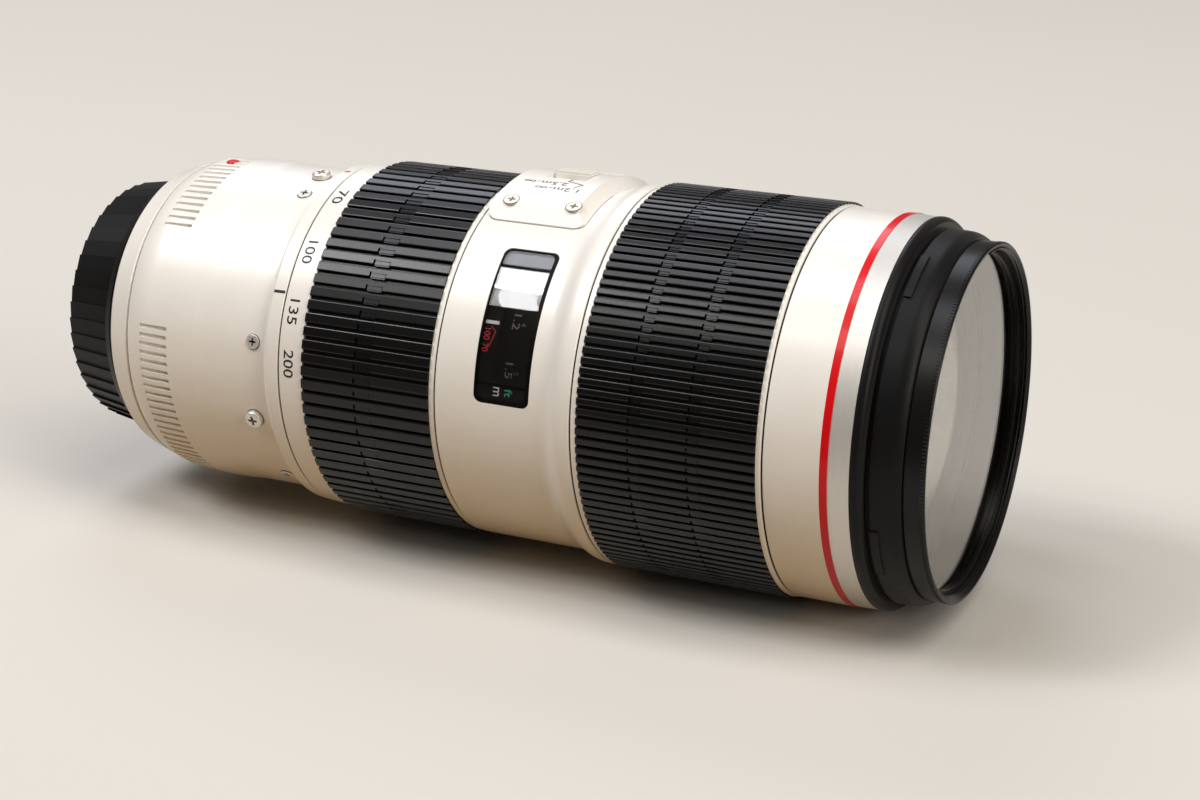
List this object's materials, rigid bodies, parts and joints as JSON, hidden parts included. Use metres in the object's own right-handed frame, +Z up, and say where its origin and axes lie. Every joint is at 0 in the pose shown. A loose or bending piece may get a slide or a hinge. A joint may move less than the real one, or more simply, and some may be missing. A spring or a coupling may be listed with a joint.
{
  "type": "camera zoom lens",
  "caption": "White telephoto zoom lens with ribbed zoom and focus rings, window, switch panel, bayonet mount, rear cap and front filter.",
  "frame": {"origin": "on the optical axis, at the flange of the bayonet mount", "axes": "+X along the optical axis towards the front glass, +Z up as the lens lies on its side, window on the -Y side of the top"},
  "size_m": [0.2203, 0.0888, 0.0897],
  "materials": {
    "cream_paint": "semi-gloss cream enamel",
    "grip_rubber": "moulded ribs, satin",
    "black_plastic": "fine moulded grain",
    "black_anodised": "black anodised",
    "screw_steel": "bright",
    "mount_chrome": "satin chrome",
    "optical_glass": "coated and polished",
    "seal_rubber": "smooth",
    "gold_contact": "gold plated",
    "red_plastic": "gloss",
    "red_paint": "gloss",
    "silver_band": "fine turned",
    "circuit_green": "solder mask",
    "window_plastic": "polished clear over black",
    "knob_plastic": "moulded cream",
    "bare_brass": "machined"
  },
  "bodies": {
    "barrel": {"mount_bayonet": "mount_chrome", "mount_screws": "screw_steel", "mount_seal": "seal_rubber", "contact_block": "black_plastic", "contact_pins": "gold_contact", "rear_ring": "cream_paint", "rear_barrel": "cream_paint", "mount_index_dot": "red_plastic", "barrel_screws": "screw_steel", "rear_cell": "black_anodised", "rear_lens": "optical_glass", "circuit_board": "circuit_green", "stabiliser_base": "black_plastic", "guide_tube": "black_anodised", "mid_barrel": "cream_paint", "window_pane": "window_plastic", "switch_panel": "cream_paint", "panel_screws": "screw_steel", "motor_stator": "bare_brass", "front_barrel": "cream_paint", "red_ring": "red_paint", "name_band": "silver_band", "hood_mount": "black_plastic", "front_bezel": "black_anodised", "front_element": "optical_glass"},
    "zoom": {"zoom_ring": "cream_paint", "zoom_grip": "grip_rubber", "cam_tube": "black_anodised", "zoom_key": "screw_steel"},
    "variator": {"variator_cell": "black_anodised", "variator_lens": "optical_glass"},
    "compensator": {"compensator_cell": "black_anodised", "compensator_lens": "optical_glass"},
    "focus": {"focus_ring": "cream_paint", "focus_grip": "grip_rubber"},
    "focus_drive": {"roller_ring": "screw_steel", "focus_cam": "black_anodised", "distance_drum": "black_plastic"},
    "focus_group": {"focus_cell": "black_anodised", "focus_lens": "optical_glass"},
    "rotor": {"motor_rotor": "screw_steel"},
    "limiter_knob": {"limiter_switch": "knob_plastic"},
    "focus_mode_knob": {"focus_mode_switch": "knob_plastic"},
    "stabiliser_knob": {"stabiliser_switch": "knob_plastic"},
    "stabiliser_mode_knob": {"stabiliser_mode_switch": "knob_plastic"},
    "stabiliser_pitch": {"stabiliser_frame": "black_anodised"},
    "stabiliser_yaw": {"stabiliser_cell": "black_plastic", "stabiliser_lens": "optical_glass"},
    "cap": {"rear_cap": "black_plastic"},
    "filter": {"filter_ring": "black_anodised", "filter_glass": "optical_glass", "filter_retainer": "black_anodised"},
    "iris": {"iris_ring": "black_anodised"},
    "blade_1": {"iris_blade_1": "black_anodised"},
    "blade_2": {"iris_blade_2": "black_anodised"},
    "blade_3": {"iris_blade_3": "black_anodised"},
    "blade_4": {"iris_blade_4": "black_anodised"},
    "blade_5": {"iris_blade_5": "black_anodised"},
    "blade_6": {"iris_blade_6": "black_anodised"},
    "blade_7": {"iris_blade_7": "black_anodised"}
  },
  "joints": [
    {"name": "zoom_turn", "type": "hinge", "parent": "barrel", "child": "zoom", "pos_m": [0, 0, 0], "axis": [1, 0, 0], "range_deg": [-21.75, 36.25]},
    {"name": "variator_travel", "type": "slide", "parent": "barrel", "child": "variator", "axis": [1, 0, 0], "range_m": [-0.01052, 0.01752]},
    {"name": "compensator_travel", "type": "slide", "parent": "barrel", "child": "compensator", "axis": [1, 0, 0], "range_m": [-0.00546, 0.00328]},
    {"name": "focus_turn", "type": "hinge", "parent": "barrel", "child": "focus", "pos_m": [0, 0, 0], "axis": [1, 0, 0], "range_deg": [-136, 4]},
    {"name": "focus_drive_turn", "type": "hinge", "parent": "barrel", "child": "focus_drive", "pos_m": [0, 0, 0], "axis": [1, 0, 0], "range_deg": [-68.05, 2.05]},
    {"name": "focus_travel", "type": "slide", "parent": "barrel", "child": "focus_group", "axis": [1, 0, 0], "range_m": [-0.00954, 0.0003]},
    {"name": "rotor_spin", "type": "hinge", "parent": "barrel", "child": "rotor", "pos_m": [0, 0, 0], "axis": [1, 0, 0], "range_deg": [-136, 4]},
    {"name": "iris_turn", "type": "hinge", "parent": "barrel", "child": "iris", "pos_m": [0, 0, 0], "axis": [1, 0, 0], "range_deg": [0, 20]},
    {"name": "blade_1_swing", "type": "hinge", "parent": "barrel", "child": "blade_1", "pos_m": [0.029, 0, 0.0276], "axis": [1, 0, 0], "range_deg": [-0.05, 24.05]},
    {"name": "blade_2_swing", "type": "hinge", "parent": "barrel", "child": "blade_2", "pos_m": [0.029, -0.02158, 0.01721], "axis": [1, 0, 0], "range_deg": [-0.05, 24.05]},
    {"name": "blade_3_swing", "type": "hinge", "parent": "barrel", "child": "blade_3", "pos_m": [0.029, -0.02691, -0.00614], "axis": [1, 0, 0], "range_deg": [-0.05, 24.05]},
    {"name": "blade_4_swing", "type": "hinge", "parent": "barrel", "child": "blade_4", "pos_m": [0.029, -0.01198, -0.02487], "axis": [1, 0, 0], "range_deg": [-0.05, 24.05]},
    {"name": "blade_5_swing", "type": "hinge", "parent": "barrel", "child": "blade_5", "pos_m": [0.029, 0.01198, -0.02487], "axis": [1, 0, 0], "range_deg": [-0.05, 24.05]},
    {"name": "blade_6_swing", "type": "hinge", "parent": "barrel", "child": "blade_6", "pos_m": [0.029, 0.02691, -0.00614], "axis": [1, 0, 0], "range_deg": [-0.05, 24.05]},
    {"name": "blade_7_swing", "type": "hinge", "parent": "barrel", "child": "blade_7", "pos_m": [0.029, 0.02158, 0.01721], "axis": [1, 0, 0], "range_deg": [-0.05, 24.05]},
    {"name": "limiter_slide", "type": "hinge", "parent": "barrel", "child": "limiter_knob", "pos_m": [0, 0, 0], "axis": [1, 0, 0], "range_deg": [0, 4.2]},
    {"name": "focus_mode_slide", "type": "hinge", "parent": "barrel", "child": "focus_mode_knob", "pos_m": [0, 0, 0], "axis": [1, 0, 0], "range_deg": [0, 4.2]},
    {"name": "stabiliser_slide", "type": "hinge", "parent": "barrel", "child": "stabiliser_knob", "pos_m": [0, 0, 0], "axis": [1, 0, 0], "range_deg": [0, 4.2]},
    {"name": "stabiliser_mode_slide", "type": "hinge", "parent": "barrel", "child": "stabiliser_mode_knob", "pos_m": [0, 0, 0], "axis": [1, 0, 0], "range_deg": [0, 4.2]},
    {"name": "stabiliser_pitch_travel", "type": "slide", "parent": "barrel", "child": "stabiliser_pitch", "axis": [0, 0, 1], "range_m": [-0.0007, 0.0007]},
    {"name": "stabiliser_yaw_travel", "type": "slide", "parent": "stabiliser_pitch", "child": "stabiliser_yaw", "axis": [0, 1, 0], "range_m": [-0.0007, 0.0007]},
    {"name": "cap_pull", "type": "slide", "parent": "barrel", "child": "cap", "axis": [-1, 0, 0], "range_m": [0, 0.03]},
    {"name": "filter_pull", "type": "slide", "parent": "barrel", "child": "filter", "axis": [1, 0, 0], "range_m": [0, 0.012]}
  ],
  "couplings": [
    {"joint": "variator_travel", "follows": "zoom_turn", "m_per_rad": 0.027662},
    {"joint": "compensator_travel", "follows": "zoom_turn", "m_per_rad": -0.0085944},
    {"joint": "focus_drive_turn", "follows": "focus_turn", "ratio": 0.5},
    {"joint": "focus_travel", "follows": "focus_turn", "m_per_rad": 0.0040107},
    {"joint": "blade_1_swing", "follows": "iris_turn", "ratio": 1.2},
    {"joint": "blade_2_swing", "follows": "iris_turn", "ratio": 1.2},
    {"joint": "blade_3_swing", "follows": "iris_turn", "ratio": 1.2},
    {"joint": "blade_4_swing", "follows": "iris_turn", "ratio": 1.2},
    {"joint": "blade_5_swing", "follows": "iris_turn", "ratio": 1.2},
    {"joint": "blade_6_swing", "follows": "iris_turn", "ratio": 1.2},
    {"joint": "blade_7_swing", "follows": "iris_turn", "ratio": 1.2}
  ]
}
